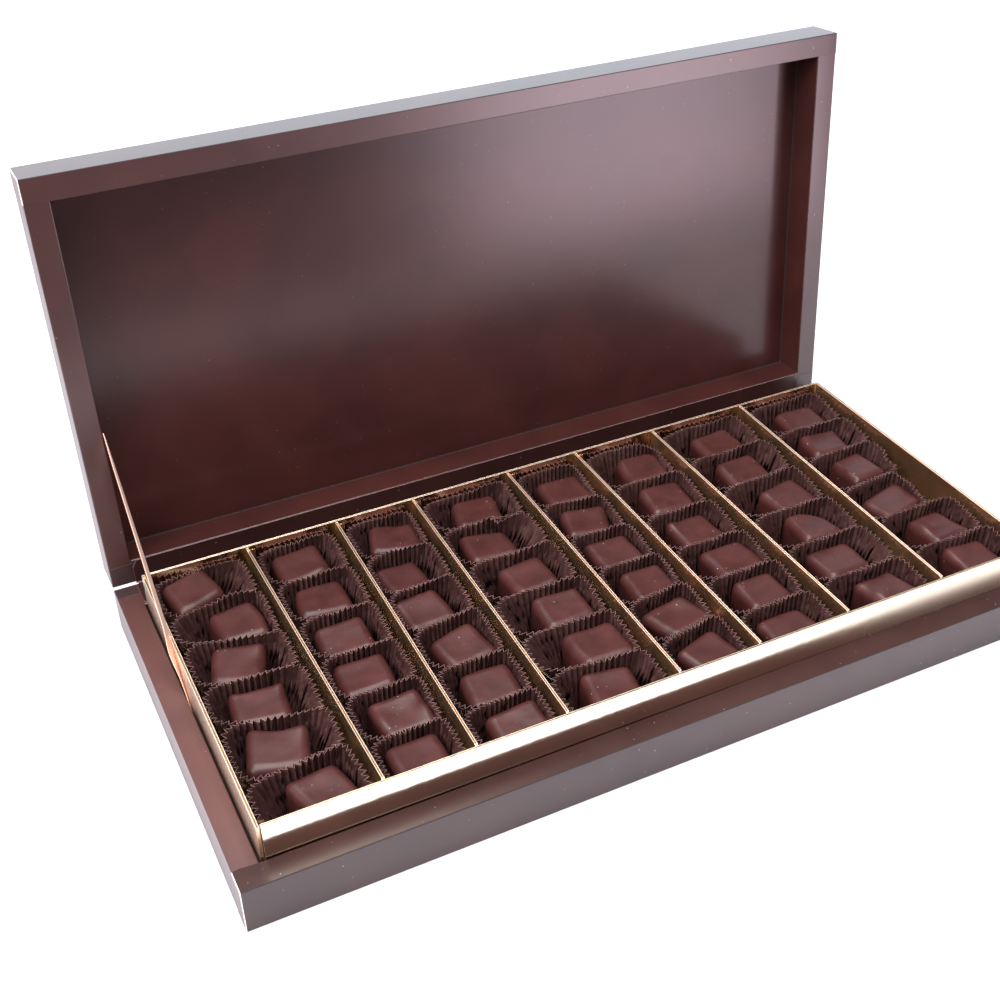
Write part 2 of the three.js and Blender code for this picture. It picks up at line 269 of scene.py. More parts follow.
# Offset-printed paper under a satin film: a deep red brown that greys wherever a light glances off the film.
# The print drifts over some 33 mm, board dust shows as specks of 0.4 mm, and the film is faintly rippled.
DUST = "#c4a7a2"
DUST_CELLS = 300
DUST_RADIUS = 0.06
INK_DRIFT = 30
FILM_ROUGHNESS = 0.22
FILM_RIPPLE = {"scale": 900, "strength": 0.1, "depth": 0.1 * MM}


def dusted(tree, place, colour, cells, radius, dust):
    """A colour with round specks of dust on it, some bright and most of them faint."""
    specks = add_node(tree, "ShaderNodeTexVoronoi", {"Scale": cells}, {"Vector": place})
    size = add_node(tree, "ShaderNodeMath", {1: radius}, {0: specks.outputs["Distance"]}, operation="LESS_THAN")
    chance = add_node(tree, "ShaderNodeSeparateColor", links={"Color": specks.outputs["Color"]})
    faint = add_node(tree, "ShaderNodeMath", {1: 2}, {0: chance.outputs["Red"]}, operation="POWER")
    both = add_node(tree, "ShaderNodeMath", links={0: size.outputs[0], 1: faint.outputs[0]}, operation="MULTIPLY")
    mixed = add_node(tree, "ShaderNodeMix", {7: linear(dust)}, {0: both.outputs[0], 6: colour}, data_type="RGBA")
    return mixed.outputs[2]


def mottled(tree, place, colours, scale, low=0.35, high=0.65):
    """Two colours that drift into each other, as uneven ink or chocolate does."""
    drift = add_node(tree, "ShaderNodeTexNoise", {"Scale": scale, "Detail": 3}, {"Vector": place})
    ramp = add_node(tree, "ShaderNodeValToRGB", links={"Fac": drift.outputs["Fac"]})
    for stop, position, colour in zip(ramp.color_ramp.elements, (low, high), colours):
        stop.position = position
        stop.color = linear(colour)
    return ramp.outputs["Color"]


def rippled(tree, place, shader, scale, strength, depth):
    """A fine unevenness of the surface."""
    ripple = add_node(tree, "ShaderNodeTexNoise", {"Scale": scale, "Detail": 2}, {"Vector": place})
    relief = add_node(
        tree, "ShaderNodeBump", {"Strength": strength, "Distance": depth}, {"Height": ripple.outputs["Fac"]}
    )
    tree.links.new(relief.outputs["Normal"], shader.inputs["Normal"])


def film_wrapped_paper(name, colours, roughness=0.42, film=1, haze=0.45, dust=DUST):
    """Printed paper, of two colours: film is the film's mirror, and haze the print's own dull shine under it."""
    settings = {"Roughness": roughness, "Specular IOR Level": haze, "Coat Weight": film}
    material, tree, shader = new_material(name, {**settings, "Coat Roughness": FILM_ROUGHNESS})
    place = object_place(tree)
    colour = dusted(tree, place, mottled(tree, place, colours, INK_DRIFT), DUST_CELLS, DUST_RADIUS, dust)
    tree.links.new(colour, shader.inputs["Base Color"])
    rippled(tree, place, shader, **FILM_RIPPLE)
    return material


brown_wrap = film_wrapped_paper("satin_film_wrapped_paper", ("#472623", "#532e2a"))
front_wrap = film_wrapped_paper("satin_film_front_wrap", ("#331e1d", "#3d2624"), haze=0.06)
hinge_wrap = film_wrapped_paper("hinge_end_wrap", ("#2f1b1b", "#392121"), roughness=0.45)
# The outer left and right faces are wrapped in a duller stretch of it.
side_wrap = film_wrapped_paper("satin_film_side_wrap", ("#3b201e", "#452725"), film=0.4, haze=0.1)


def plain(name, colour, roughness):
    return new_material(name, {"Base Color": linear(colour), "Roughness": roughness})[0]


# The raw edge of the board: white pulp that never got any print.
raw_board = plain("raw_white_board_edge", "#f2e8e6", 0.8)
# Painted shade: a near-black colour laid where shade falls, along the rounded front top edge of a wrapped wall, round
# the lid's recessed panel and in the panel's crease dashes.
painted_crease_shade = plain("painted_crease_shade", "#241616", 0.7)


def hollow(board, opens, axis, low, high, middle, push):
    """Sinks a well into a board's open face, from low to high on one axis and between the ledges on the other."""
    edit(board, opens)
    bpy.ops.mesh.inset(thickness=SIDE_LEDGE)
    close_edit()
    for corner in board.data.vertices:
        if abs(corner.co.x) < base_high.x - SIDE_LEDGE / 2:
            corner.co[axis] = low if corner.co[axis] < middle else high
    edit(board, lambda f: opens(f) and max(abs(f.center.x), abs(f.center[axis] - middle)) < SIDE_LEDGE)
    bpy.ops.mesh.extrude_region_move(TRANSFORM_OT_translate={"value": push})
    close_edit()
    round_edges(board, BOARD_EDGE)


base_board = block("base_board", (base_low.x, well_front - WRAP_TUCK, 0), (*base_high.xy, base_high.z - PAPER_STEP))
well_drop = Vector((0, 0, BASE_FLOOR - base_high.z + PAPER_STEP))
hollow(base_board, lambda f: f.normal.z > FACING, 1, well_front - WRAP_TUCK / 3, well_back, 0, well_drop)
base_board.data.materials.append(brown_wrap)
paint(base_board, side_wrap, on_outer_side)
finish_piece(base_board, [], "base", "base")

# The cut edge of a strip of wrap wanders like a slow wave, between corners at these distances from its two ends.
WRAP_WAVE = 0.35 * MM
WRAP_WAVE_TURNS = 900
WAVE_CORNERS = ((3 * MM, 7 * MM, 13 * MM), (13 * MM, 5 * MM))
WHITE_ENDS_FROM = 1.5 * MM


def at_wall_end(face):
    """True of the rounded edge at either end of a wall."""
    return 0.2 < abs(face.normal.x) < FLAT_SIDE


def wrapped_wall(name, low, high, back_axis, ends_at, wrap):
    """A wall in its own strip of wrap, whose cut edge lies at ends_at on the back axis."""
    wall = block(name, (low[0] - PAPER_STEP, low[1], low[2]), (high[0] + PAPER_STEP, high[1], high[2]))
    for cut in [low[0] + d for d in WAVE_CORNERS[0]] + [high[0] - d for d in WAVE_CORNERS[1]]:
        edit(wall, lambda f: True)
        bpy.ops.mesh.bisect(plane_co=(cut, 0, 0), plane_no=(1, 0, 0))
        close_edit()
    for corner in wall.data.vertices:
        if abs(corner.co[back_axis] - ends_at) < 0.01 * MM:
            corner.co[back_axis] += WRAP_WAVE * math.sin(corner.co.x * WRAP_WAVE_TURNS)
    round_edges(wall, WRAP_EDGE)
    wall.data.materials.append(wrap)
    paint(wall, raw_board, lambda f: at_wall_end(f) and f.center.z > WHITE_ENDS_FROM)
    # Painted shade: the rounded edge between the front face and the top is painted near black, a dark line along the
    # crease.
    paint(wall, painted_crease_shade, lambda f: not at_wall_end(f) and f.normal.y < -0.2 and f.normal.z > 0.2)
    paint(wall, side_wrap, on_outer_side)
    return wall


front_wall = wrapped_wall(
    "base_front_wall", base_low, (base_high.x, well_front, base_high.z), 1, well_front, front_wrap
)
finish_piece(front_wall, [], "base", "base")


def thin_strip(name, side, inner, low, high):
    """A thin strip across the top of a side wall, from near its outer face to inner, between two (y, z) corners."""
    x_low, x_high = sorted((side * (base_high.x - STRIP_INSET), side * inner))
    strip = block(f"{name}_{side_name(side)}", (x_low, *low), (x_high, *high))
    round_edges(strip, STRIP_EDGE, 1)
    return strip


# The hinge strip turns round the side walls and is darker, and the cut board shows white beside it.
for side in (-1, 1):
    hinge_end = thin_strip(
        "base_hinge_end",
        side,
        well_x + STRIP_OVERLAP,
        (base_high.y - HINGE_END_LENGTH, base_high.z - 2 * PAPER_STEP),
        (base_high.y - STRIP_INSET, base_high.z),
    )
    finish_piece(hinge_end, [hinge_wrap], "base", "base")
    white_edge = thin_strip(
        "base_board_edge",
        side,
        well_x + STRIP_OVERLAP - WHITE_EDGE_REACH,
        (base_high.y - WHITE_EDGE_INSET - WHITE_EDGE, base_high.z - PAPER_STEP),
        (base_high.y - WHITE_EDGE_INSET, base_high.z + PAPER_STEP),
    )
    finish_piece(white_edge, [raw_board], "base", "base")

# ---------- gold tray ----------
# A tray of metallised gold card stands in the base, its walls folded double along the top. The side walls run
# through, and the front and back walls stand between them, so each corner shows a narrow open mitre. The front
# wall bows back towards its top, so the upper part of it mirrors the white table.

TRAY_CARD = 1.0 * MM
TRAY_SIDE_WALL = 1.35 * MM
TRAY_FLOOR = 2.5 * MM
TRAY_INSET = 0.1 * MM
MITRE_GAP = 0.3 * MM
# The slot's share of the card, and how near the top and how flat a face of the fold is.
FOLD_SLOT = 0.4
FOLD_SLOT_DEPTH = 1.0 * MM
FOLD_EDGE = 0.15 * MM
FOLD_REACH = 0.3 * MM
FOLD_SLOPE = 0.3
# The front wall stands a little forward, and bows back by a power of the height above the ledge.
FRONT_BOW = 0.9 * MM
BOW_POWER = 2.6
BOW_STEPS = 8
FRONT_SHIFT = 0.35 * MM

# Vacuum-metallised gold film on card: a soft mirror of pale gold, wavy over some 7 mm. On the front wall it shows the
# white table above and the brown ledge below. Hands have rubbed that wall's right part to a satin.
GOLD_RIPPLE = {"scale": 150, "strength": 0.2, "depth": 0.3 * MM}
RUBBED_ROUGHNESS = 0.34
RUBBED_FROM = 10 * MM
RUBBED_TO = 120 * MM


def metallised_card(name, colour, roughness, metal=1):
    settings = {"Base Color": linear(colour), "Metallic": metal, "Roughness": roughness}
    material, tree, shader = new_material(name, settings)
    place = object_place(tree)
    rippled(tree, place, shader, **GOLD_RIPPLE)
    return material, tree, shader, place


def rubbed_card(name, colour, roughness):
    """Metallised card that gets rougher from left to right."""
    material, tree, shader, place = metallised_card(name, colour, roughness)
    along = add_node(tree, "ShaderNodeSeparateXYZ", links={"Vector": place}).outputs["X"]
    span = {"From Min": RUBBED_FROM, "From Max": RUBBED_TO, "To Min": roughness, "To Max": RUBBED_ROUGHNESS}
    rubbed = add_node(tree, "ShaderNodeMapRange", span, {"Value": along}, interpolation_type="SMOOTHSTEP")
    tree.links.new(rubbed.outputs["Result"], shader.inputs["Roughness"])
    return material


gold_card = metallised_card("metallised_gold_card", "#fbe4c4", 0.12)[0]
gold_front = rubbed_card("rubbed_gold_front_card", "#efe2cc", 0.12)
# Outside, the side walls are scuffed where the tray slides into the base, and along a fold the film is stretched.
gold_outside = metallised_card("scuffed_gold_outside", "#fff0dc", 0.31)[0]
gold_fold = metallised_card("stretched_gold_fold", "#fff3e0", 0.5)[0]
# Inside, the same card faces the dark sweets, and what shows is the yellow lacquer over its metal. The same gold also
# paints a thin line of shade under each fold.
gold_lining_and_fold_shade = metallised_card("lacquered_gold_lining", "#fdd2a6", 0.27, 0.98)[0]


def double_fold(piece, card, gold):
    """Cuts the narrow slot between the two layers of card along the top of a wall, and gilds the wall."""
    top = max(corner.co.z for corner in piece.data.vertices)
    edit(piece, lambda f: f.normal.z > FACING and f.center.z > top - FOLD_REACH)
    bpy.ops.mesh.inset(thickness=card * (1 - FOLD_SLOT) / 2)
    bpy.ops.mesh.extrude_region_move(TRANSFORM_OT_translate={"value": (0, 0, -FOLD_SLOT_DEPTH)})
    close_edit()
    round_edges(piece, FOLD_EDGE)
    piece.data.materials.append(gold)
    paint(piece, gold_fold, lambda f: f.normal.z > FOLD_SLOPE and f.center.z > top - FOLD_REACH)
    # Painted shade: the fold's front bevel is given the lining's gold, a thin dark line under the top edge.
    paint(piece, gold_lining_and_fold_shade, lambda f: f.material_index and f.normal.z <= 2 * FOLD_SLOPE and f.normal.y <= -FOLD_SLOPE)


tray_inner_x = tray_high.x - TRAY_CARD
tray_inner_front = tray_low.y + TRAY_CARD
tray_inner_back = tray_high.y - TRAY_CARD

tray_floor = block(
    "gold_tray_floor",
    (tray_low.x + TRAY_INSET, tray_low.y + TRAY_INSET, tray_low.z),
    (tray_high.x - TRAY_INSET, tray_high.y - TRAY_INSET, tray_low.z + TRAY_FLOOR),
)
finish_piece(tray_floor, [gold_card], "base", "tray")

for side in (-1, 1):
    x_low, x_high = sorted((side * tray_high.x, side * (tray_high.x - TRAY_SIDE_WALL)))
    side_wall = block(
        f"gold_tray_wall_{side_name(side)}",
        (x_low, tray_low.y + TRAY_INSET, tray_low.z),
        (x_high, tray_high.y, tray_high.z),
    )
    double_fold(side_wall, TRAY_SIDE_WALL, gold_lining_and_fold_shade)
    paint(side_wall, gold_outside, lambda f: f.normal.x * side > FACING)
    finish_piece(side_wall, [], "base", "tray")

wall_reach = tray_high.x - TRAY_SIDE_WALL - MITRE_GAP
gold_front_wall = block(
    "gold_tray_wall_front", (-wall_reach, tray_low.y, tray_low.z), (wall_reach, tray_inner_front, tray_high.z)
)
shown_height = tray_high.z - base_high.z
for step in range(1, BOW_STEPS):
    edit(gold_front_wall, lambda f: True)
    bpy.ops.mesh.bisect(plane_co=(0, 0, base_high.z + shown_height * step / BOW_STEPS), plane_no=(0, 0, 1))
    close_edit()
double_fold(gold_front_wall, TRAY_CARD, gold_front)
for corner in gold_front_wall.data.vertices:
    up = max(0, corner.co.z - base_high.z) / shown_height
    corner.co.y += FRONT_BOW * up**BOW_POWER - FRONT_SHIFT
finish_piece(gold_front_wall, [], "base", "tray")

back_wall = block(
    "gold_tray_wall_back", (-wall_reach, tray_inner_back, tray_low.z), (wall_reach, tray_high.y, tray_high.z)
)
double_fold(back_wall, TRAY_CARD, gold_card)
finish_piece(back_wall, [], "base", "tray")

# ---------- dividers ----------
# Seven strips of the same gold card, each folded double along its top and dropped in across the tray.
# The front top corner is rounded where the card is bent, and a small flap holds the back end to the tray.

DIVIDER_CARD = 1.2 * MM
DIVIDER_CORNER = 2 * MM
FLAP_LENGTH = 2.4 * MM
FLAP_CARD = 0.35 * MM
FLAP_FOOT = 8 * MM
FLAP_DROP = 0.4 * MM
FLAP_SKEW = 1.3 * MM
NEAR_CORNER = 1 * MM

# The two ends of each divider, in millimetres along the hinge, from left to right.
DIVIDER_ENDS = {
    1: (-121.5, -119.5),
    2: (-82.5, -85),
    3: (-47.5, -49.5),
    4: (-2.5, -3),
    5: (31.5, 32),
    6: (71.5, 72.5),
    7: (119.5, 118),
}

divider_low, divider_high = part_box("divider_4")
divider_span = divider_high.y - divider_low.y


def divider_x(number, y):
    """The x of a divider's middle at some y."""
    back_x, front_x = DIVIDER_ENDS[number]
    share = (y - divider_low.y) / divider_span
    return (front_x + (back_x - front_x) * share) * MM


for number, (back_x, front_x) in DIVIDER_ENDS.items():
    low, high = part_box(f"divider_{number}")
    divider = block(f"gold_divider_{number}", (-DIVIDER_CARD / 2, low.y, low.z), (DIVIDER_CARD / 2, high.y, high.z))
    edit(
        divider,
        lambda e: edge_middle(divider, e).y < low.y + NEAR_CORNER
        and edge_middle(divider, e).z > high.z - NEAR_CORNER,
        "EDGE",
    )
    bpy.ops.mesh.bevel(offset=DIVIDER_CORNER, segments=4)
    close_edit()
    double_fold(divider, DIVIDER_CARD, gold_lining_and_fold_shade)
    flap = block(
        f"gold_divider_{number}_flap",
        (DIVIDER_CARD / 2, high.y - FLAP_CARD, low.z + FLAP_FOOT),
        (DIVIDER_CARD / 2 + FLAP_LENGTH, high.y, high.z - FLAP_DROP),
    )
    edit(flap, lambda e: edge_middle(flap, e).x > DIVIDER_CARD / 2 + NEAR_CORNER, "EDGE")
    bpy.ops.transform.translate(value=(0, -FLAP_SKEW, 0))
    close_edit()
    round_edges(flap, STRIP_EDGE, 1)
    lean = Matrix.Rotation(math.atan2((front_x - back_x) * MM, divider_span), 4, "Z")
    for piece, materials in ((divider, []), (flap, [gold_lining_and_fold_shade])):
        piece.data.transform(Matrix.Translation((divider_x(number, 0), 0, 0)) @ lean)
        finish_piece(piece, materials, "base", f"divider_{number}")

# ---------- paper cases ----------
# One for each sweet, pressed from a round of dark brown glazed paper into fine flutes. The flutes are shallow at the
# foot and deep at the rim. The tray's columns squeeze each case to an oval, and the sweet holds its foot square.

# Each column from left to right, and each value in it from the hinge to the front: how far its sweets lie off the
# column's middle and off their even row, in millimetres, how they are turned, in degrees, and how high they ride.
COLUMNS = {
    1: {
        "along": [-5.5, 4.5, -1.5, -2, -3.5, 3.5],
        "back": [-0.5, 0.5, 2, 2, 2, 0],
        "turn": [14, 3, -18, -6, -17, 8],
        "lift": [3, 0, 0, 0, 0, 0],
    },
    2: {"along": [-1, -1, -1, -2, 2, -1], "back": [1, -1, -2, -1, -1, -1], "turn": [2, -2, -2, -3, 0, 0]},
    3: {"along": [3, -3.5, -3, 1, 2, 3], "back": [0, -2, 0, -2, -2.5, -1], "turn": [-15, 0, 3, 9, -2, 1]},
    4: {"along": [2.5, -3.5, 2, 6, 8, 1], "back": [1.5, 2, 0, 0, 0, 0], "turn": [-5, -5, 0, 0, 0, -6]},
    5: {"along": [4, 2, 1.5, 3.5, 3, 2], "back": [-2, -2, -2, -1, 1, 0], "turn": [-2, -8, -3, 0, 10, 14]},
    6: {"along": [6.5, 3.5, 1.5, 4, 4.5, 0.5], "back": [-2, -3, -4.5, -3.5, -2, -1], "turn": [-2, -2, 0, 0, 0, 2]},
    7: {"along": [3.5, 2, 8, 5, -1, 5], "back": [-1, 1, -1, 0, 0, 0], "turn": [0, 0, 5, 0, 0, 0]},
    8: {"along": [4, 0.5, 2, -1, 5.5, 5.5], "back": [-1, 1.5, 2, -1.5, 0, 0], "turn": [0, -3, 3, 8, 2, 0]},
}
ROWS = 6

FLUTES = 44
POINTS_A_FLUTE = 4
CASE_RINGS = 7
CASE_PAPER = 0.14 * MM
# The flutes' depth at the rim, and the share of it that is left at the foot.
FLUTE_DEPTH = 1.15 * MM
FOOT_FLUTE = 0.12
# A case is rounder at its left side (-1) than at its right (1), where it is pressed against a divider.
CASE_SQUARENESS = {-1: 4, 1: 9}
LEFT_GAP = 0.7 * MM
RIGHT_GAP = 1.7 * MM
ROW_GAP = 0.3 * MM
FOOT_MARGIN = 0.55 * MM
# The wall flares by this power of the height, and has dents that are deepest at the rim.
CASE_FLARE = 0.9
CASE_DENT = 0.6 * MM
DENT_DRIFT = 1.6
# The rim is high at the back and low at the front, climbs round the sides, and wavers.
BACK_RIM = 30.6 * MM
FRONT_RIM = 27.6 * MM
RIM_CLIMB = 1.8
RIM_CLIMB_START = 0.8
RIM_WAVER = 0.7 * MM
WAVER_DRIFT = 2.5
RIM_TURN = 0.7
SWEET_HALF = 9.8 * MM
SWEET_SQUARENESS = 5
HALVINGS = 16
OUTLINE_STEPS = 180

CELLS = [(column, row) for column in COLUMNS for row in range(1, ROWS + 1)]
row_pitch = (tray_inner_back - tray_inner_front) / ROWS
sweet_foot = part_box("sweet_c1_r2")[0].z


def wall_x(column, side, y):
    """The x of the wall at the left (-1) or the right (1) of a column."""
    divider = column - 1 if side < 0 else column
    if divider in DIVIDER_ENDS:
        return divider_x(divider, y) - side * DIVIDER_CARD / 2
    return side * tray_inner_x


def row_y(column, row):
    return tray_inner_back - (row - 0.5) * row_pitch + COLUMNS[column]["back"][row - 1] * MM


# Cases that were pushed in from the right, in millimetres.
NARROWED = {(8, 4): 9, (8, 3): 2}


def cell_of(column, row):
    """The middle and the half size of the room that a case has, and the middle of its sweet."""
    y = row_y(column, row)
    y_high = tray_inner_back if row == 1 else (y + row_y(column, row - 1)) / 2
    y_low = tray_inner_front if row == ROWS else (y + row_y(column, row + 1)) / 2
    x_low = max(wall_x(column, -1, y_high), wall_x(column, -1, y_low)) + LEFT_GAP
    x_high = min(wall_x(column, 1, y_high), wall_x(column, 1, y_low)) - RIGHT_GAP
    x_high -= NARROWED.get((column, row), 0) * MM
    column_middle = (wall_x(column, -1, y) + wall_x(column, 1, y)) / 2
    middle = Vector(((x_low + x_high) / 2, (y_high + y_low) / 2))
    half = Vector(((x_high - x_low) / 2, (y_high - y_low - ROW_GAP) / 2))
    return middle, half, Vector((column_middle + COLUMNS[column]["along"][row - 1] * MM, y))


def rim_slope(column, row):
    """How much a rim between two rows slopes: it turns with the sweet in front of it."""
    if 1 < row <= ROWS:
        return RIM_TURN * math.tan(math.radians(COLUMNS[column]["turn"][row - 1]))
    return 0


def square_reach(angle, half, squareness):
    """How far a rounded square's outline lies from its middle, at an angle."""
    across = abs(math.cos(angle)) / half
    deep = abs(math.sin(angle)) / half
    return (across**squareness + deep**squareness) ** (-1 / squareness)


def reach_to_rim(middle, half, start, direction):
    """How far the rim of a cell lies from a point inside it, in some direction, found by halving."""
    near, far = 0, 2 * half.x + half.y
    for _ in range(HALVINGS):
        tried = (near + far) / 2
        p = start + direction * tried - middle
        power = CASE_SQUARENESS[1 if p.x > 0 else -1]
        inside = abs(p.x / half.x) ** power + abs(p.y / half.y) ** power < 1
        near, far = (tried, far) if inside else (near, tried)
    return near


def even_outline(corners, count):
    """Points at even distances along a closed outline, that start at its first corner."""
    lengths = [(corners[i] - corners[i - 1]).length for i in range(1, len(corners))]
    lengths.append((corners[0] - corners[-1]).length)
    total, points, passed, i = sum(lengths), [], 0, 0
    for step in range(count):
        wanted = total * step / count
        while passed + lengths[i] < wanted:
            passed += lengths[i]
            i += 1
        share = (wanted - passed) / lengths[i]
        points.append(corners[i].lerp(corners[(i + 1) % len(corners)], share))
    return points


# Glazed brown paper: dark, with a sheen along the crests of its flutes. Its cut rim is painted paler, a painted
# highlight where the rim catches the light. Its fibres make it cloudy over some 3 mm.
PAPER_CLOUDS = 380


def glazed_brown_paper(name, colours, roughness):
    material, tree, shader = new_material(name, {"Roughness": roughness})
    place = object_place(tree)
    tree.links.new(mottled(tree, place, colours, PAPER_CLOUDS), shader.inputs["Base Color"])
    return material


glazed_paper = glazed_brown_paper("glazed_brown_case_paper", ("#422a28", "#553937"), 0.36)
pale_rim_highlight_paper = glazed_brown_paper("painted_case_rim_highlight", ("#765654", "#957270"), 0.6)

# One straight tube, one unit wide and one long, that every case is shaped from.
bpy.ops.mesh.primitive_circle_add(vertices=FLUTES * POINTS_A_FLUTE, radius=1, fill_type="NGON")
case_blank = bpy.context.object
for ring in range(CASE_RINGS):
    edit(case_blank, lambda e: edge_middle(case_blank, e).z > (ring - 0.5) / CASE_RINGS, "EDGE")
    bpy.ops.mesh.extrude_edges_move(TRANSFORM_OT_translate={"value": (0, 0, 1 / CASE_RINGS)})
    close_edit()


# Cases that were pushed about when the box was filled: round an angle, in degrees, and for so many degrees to each
# side, their rim is lifted and pushed inwards by some millimetres.
RIM_PUSHES = {
    (1, 2): [(85, 34, 2.6, 0)],
    (1, 6): [(35, 22, 1.5, 1.5)],
    (3, 2): [(90, 40, 1.2, 0)],
    (4, 1): [(20, 40, 1.0, 0)],
    (4, 2): [(38, 12, 0, 5), (65, 10, 1.2, 0)],
    (6, 1): [(50, 20, 0.6, 4)],
    (7, 2): [(10, 40, 1.0, 0)],
    (8, 3): [(-20, 15, 0, 2.5)],
    (8, 5): [(100, 45, 1.0, 0)],
}


def copy_of(blank, name):
    """A new piece with its own copy of a blank's mesh."""
    made = blank.copy()
    made.data = blank.data.copy()
    made.name = name
    scene.collection.objects.link(made)
    return made


def shape_case(column, row):
    middle, half, sweet_middle = cell_of(column, row)
    turn = math.radians(COLUMNS[column]["turn"][row - 1])
    seed = Vector((column * 7.1, row * 3.7, 0))
    rim = []
    for i in range(OUTLINE_STEPS):
        angle = -math.pi + 2 * math.pi * i / OUTLINE_STEPS
        direction = Vector((math.cos(angle), math.sin(angle)))
        p = sweet_middle + direction * reach_to_rim(middle, half, sweet_middle, direction)
        share = (p.y - middle.y) / half.y
        slope = rim_slope(column, row) * max(0, share) + rim_slope(column, row + 1) * max(0, -share)
        rim.append(Vector((p.x, p.y + slope * (p.x - middle.x))))
    count = FLUTES * POINTS_A_FLUTE
    rim = even_outline(rim, count)
    case = copy_of(case_blank, f"paper_case_c{column}_r{row}")
    for corner in case.data.vertices:
        height = corner.co.z
        step = round((math.atan2(corner.co.y, corner.co.x) + math.pi) / (2 * math.pi) * count) % count
        out = (rim[step] - sweet_middle).normalized()
        angle = math.atan2(out.y, out.x)
        foot = sweet_middle + out * square_reach(angle - turn, SWEET_HALF + FOOT_MARGIN, SWEET_SQUARENESS)
        wave = math.cos(2 * math.pi * step / POINTS_A_FLUTE)
        stray = noise.noise(seed + Vector((out.x, out.y, height)) * DENT_DRIFT)
        climb = 0.5 + 0.5 * max(-1, min(1, RIM_CLIMB * out.y + RIM_CLIMB_START))
        level = FRONT_RIM + (BACK_RIM - FRONT_RIM) * climb
        level += RIM_WAVER * noise.noise(seed + Vector((out.x, out.y, 4)) * WAVER_DRIFT)
        inwards = FLUTE_DEPTH * (1 - wave) * (FOOT_FLUTE + (1 - FOOT_FLUTE) * height)
        inwards += abs(stray) * CASE_DENT * height
        for at, width, up, push in RIM_PUSHES.get((column, row), []):
            near = math.exp(-(((math.degrees(angle) - at) / width) ** 2))
            level += up * MM * near
            inwards += push * MM * near * height
        p = foot.lerp(rim[step], height**CASE_FLARE) - out * inwards
        corner.co = (p.x, p.y, sweet_foot + (level - sweet_foot) * height)
    case.data.materials.append(glazed_paper)
    # The rim faces take the paler paper: a painted highlight along the rim's edge.
    case.data.materials.append(pale_rim_highlight_paper)
    add_modifier(case, "SOLIDIFY", thickness=CASE_PAPER, offset=0, material_offset_rim=1)
    bpy.ops.object.shade_smooth_by_angle(angle=math.radians(35))
    finish_piece(case, [], "base", f"sweet_c{column}_r{row}")


for column, row in CELLS:
    shape_case(column, row)
bpy.data.objects.remove(case_blank)

# ---------- sweets ----------
# Cubes of turkish delight that have been through a curtain of dark chocolate. The coating rounds their edges,
# sags a little at the foot, and sets with a soft gloss.

SWEET_EDGE = 3.0 * MM
SWEET_TOP = 27 * MM
TOP_SPREAD = 0.4 * MM
TOP_TILT = 0.5 * MM
# The top is dished, the sides swell at half height and at the foot, and the coating keeps this far off the case.
DISH = 0.35 * MM
FOOT_SPREAD = 0.02
BELLY = 0.025
SIDE_CROWN = 0.012
FOOT_CLEARANCE = 0.15 * MM
# A corner's stray fades to this share of it at the foot.
FOOT_STRAY = 0.35
# The coating's unevenness: how often it comes in half a sweet, and how deep it is.
COAT_WAVES = ((0.9, 0.4 * MM), (2.3, 0.14 * MM))
TOP_WAVE_SHARE = 0.8

sweet_blank = block("sweet_blank", (-1, -1, -1), (1, 1, 1))
edit(sweet_blank, lambda f: True)
bpy.ops.mesh.subdivide(number_cuts=5)
close_edit()
add_modifier(sweet_blank, "BEVEL", width=SWEET_EDGE / SWEET_HALF, segments=4, limit_method="ANGLE")
add_modifier(sweet_blank, "SUBSURF", levels=1, render_levels=1)
bpy.ops.object.shade_smooth()


# Dark chocolate that has set in air: a deep brown with a soft gloss, clouded by a faint bloom over some 8 mm, with
# grains of sugar a third of a millimetre across.
CHOCOLATE = ("#3a1b19", "#492523")
CHOCOLATE_SURFACE = {"Roughness": 0.41, "IOR": 1.5, "Specular IOR Level": 0.38}
BLOOM_CLOUDS = {"scale": 120, "low": 0.3, "high": 0.7}
SUGAR = {"cells": 330, "radius": 0.06, "dust": "#e0c4bd"}
COAT_RIPPLE = {"scale": 260, "strength": 0.2, "depth": 0.4 * MM}

dark_chocolate, coating, coating_shader = new_material("dark_chocolate_coating", CHOCOLATE_SURFACE)
coating_place = object_place(coating)
clouded = mottled(coating, coating_place, CHOCOLATE, **BLOOM_CLOUDS)
sugared = dusted(coating, coating_place, clouded, **SUGAR)
coating.links.new(sugared, coating_shader.inputs["Base Color"])
rippled(coating, coating_place, coating_shader, **COAT_RIPPLE)

